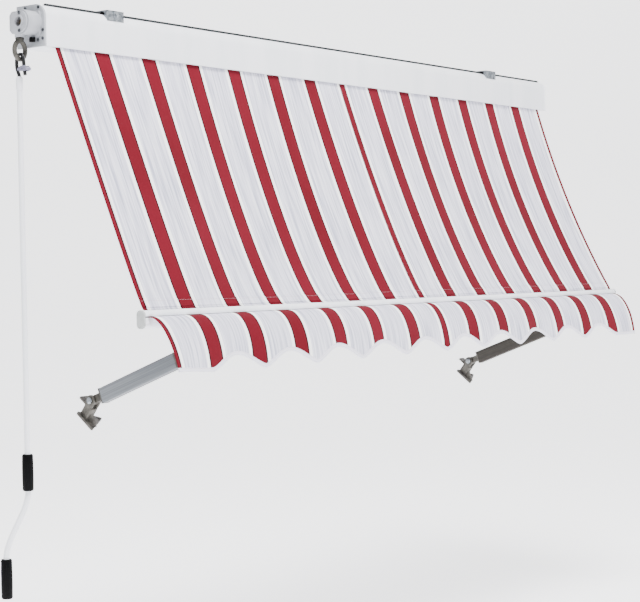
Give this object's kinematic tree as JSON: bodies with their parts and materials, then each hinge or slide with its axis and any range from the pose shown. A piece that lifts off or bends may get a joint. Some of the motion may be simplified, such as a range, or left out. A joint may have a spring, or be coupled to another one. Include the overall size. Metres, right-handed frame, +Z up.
{
  "type": "window awning",
  "caption": "Drop-arm window awning with a striped fabric canopy, scalloped valance, white cassette, folding arms on wall brackets and a hanging hand crank.",
  "frame": {"origin": "on the back of the left wall clip, the face that bears on the wall, level with the middle of the cassette's height", "axes": "+X along the wall to the right as seen from outside, +Y into the wall, +Z up"},
  "size_m": [2.5529, 0.4735, 1.446],
  "materials": {
    "white_coat": "white powder coat on aluminium, satin",
    "seal_rubber": "matt",
    "zinc_steel": "zinc plated",
    "cast_alloy": "die cast, dull",
    "arm_aluminium": "mill finish, dull",
    "gear_bronze": "machined",
    "black_plastic": "moulded",
    "cap_plastic": "moulded",
    "hook_paint": "black enamel",
    "awning_cloth": "woven acrylic canvas, striped"
  },
  "bodies": {
    "cassette": {"cassette_front": "white_coat", "cassette_back": "white_coat", "top_seal_strip": "seal_rubber", "left_end_plate": "white_coat", "right_end_plate": "white_coat", "end_screw_1": "zinc_steel", "end_screw_2": "zinc_steel", "end_screw_3": "zinc_steel", "end_screw_4": "zinc_steel", "end_screw_5": "zinc_steel", "left_wall_clip": "zinc_steel", "right_wall_clip": "zinc_steel", "left_clip_bolt": "zinc_steel", "right_clip_bolt": "zinc_steel", "idle_bushing": "black_plastic", "gearbox_housing": "cast_alloy", "gearbox_cover": "cast_alloy", "cover_screw_1": "zinc_steel", "cover_screw_2": "zinc_steel", "limit_cap": "black_plastic", "left_rear_pin": "zinc_steel", "right_rear_pin": "zinc_steel", "canopy": "awning_cloth"},
    "roller": {"roller_tube": "zinc_steel", "cloth_roll": "awning_cloth", "left_roller_plug": "black_plastic", "right_roller_plug": "black_plastic", "worm_wheel": "gear_bronze"},
    "eye": {"eye_shaft": "cast_alloy"},
    "crank": {"crank_hook": "hook_paint", "crank_ferrule": "white_coat", "crank_rod": "white_coat"},
    "latch": {"hook_latch": "cap_plastic"},
    "upper_grip": {"upper_grip": "black_plastic"},
    "lower_grip": {"lower_grip": "black_plastic"},
    "left_arm": {"left_arm_tube": "arm_aluminium", "left_rear_eye": "cast_alloy", "left_front_eye": "cast_alloy"},
    "right_arm": {"right_arm_tube": "arm_aluminium", "right_rear_eye": "cast_alloy", "right_front_eye": "cast_alloy"},
    "front_bar": {"front_bar": "white_coat", "canopy_rod": "black_plastic", "valance_rod": "black_plastic", "left_bar_cap": "cap_plastic", "right_bar_cap": "cap_plastic", "left_bar_hanger": "cast_alloy", "right_bar_hanger": "cast_alloy", "left_front_pin": "zinc_steel", "right_front_pin": "zinc_steel", "valance": "awning_cloth"},
    "left_bracket": {"left_wall_bracket": "cast_alloy"},
    "right_bracket": {"right_wall_bracket": "cast_alloy"}
  },
  "joints": [
    {"name": "left_arm_fold", "type": "hinge", "parent": "cassette", "child": "left_arm", "pos_m": [-0.048, -0.056, -0.929], "axis": [-1, 0, 0], "range_deg": [0, 65], "deforming": ["canopy"]},
    {"name": "right_arm_fold", "type": "hinge", "parent": "cassette", "child": "right_arm", "pos_m": [1.752, -0.056, -0.929], "axis": [-1, 0, 0], "range_deg": [0, 65]},
    {"name": "bar_hang", "type": "hinge", "parent": "left_arm", "child": "front_bar", "pos_m": [-0.048, -0.38426, -0.80757], "axis": [-1, 0, 0], "range_deg": [-65, 0]},
    {"name": "roller_turn", "type": "hinge", "parent": "cassette", "child": "roller", "pos_m": [0.97, -0.08, 0.005], "axis": [-1, 0, 0], "range_deg": [0, 580]},
    {"name": "eye_turn", "type": "hinge", "parent": "cassette", "child": "eye", "pos_m": [-0.276, -0.058, -0.03], "axis": [0, 0, 1], "continuous": true},
    {"name": "crank_swing", "type": "hinge", "parent": "eye", "child": "crank", "pos_m": [-0.276, -0.058, -0.082], "axis": [-1, 0, 0], "range_deg": [0, 50]},
    {"name": "latch_open", "type": "hinge", "parent": "crank", "child": "latch", "pos_m": [-0.276, -0.0725, -0.106], "axis": [1, 0, 0], "range_deg": [0, 28], "stiffness_Nm_per_rad": 0.02, "springref_deg": -17.19},
    {"name": "upper_grip_spin", "type": "hinge", "parent": "crank", "child": "upper_grip", "pos_m": [-0.276, -0.054, -1.09], "axis": [0, 0, 1], "continuous": true},
    {"name": "lower_grip_spin", "type": "hinge", "parent": "crank", "child": "lower_grip", "pos_m": [-0.351, -0.054, -1.338], "axis": [0, 0, 1], "continuous": true},
    {"name": "left_bracket_swing", "type": "hinge", "parent": "cassette", "child": "left_bracket", "pos_m": [-0.048, -0.056, -0.929], "axis": [1, 0, 0], "range_deg": [-38, 52]},
    {"name": "right_bracket_swing", "type": "hinge", "parent": "cassette", "child": "right_bracket", "pos_m": [1.752, -0.056, -0.929], "axis": [1, 0, 0], "range_deg": [-38, 52]}
  ],
  "couplings": [
    {"joint": "right_arm_fold", "follows": "left_arm_fold", "ratio": 1},
    {"joint": "bar_hang", "follows": "left_arm_fold", "ratio": -1},
    {"joint": "roller_turn", "follows": "left_arm_fold", "ratio": 8.7033},
    {"joint": "eye_turn", "follows": "left_arm_fold", "ratio": 60.923}
  ]
}
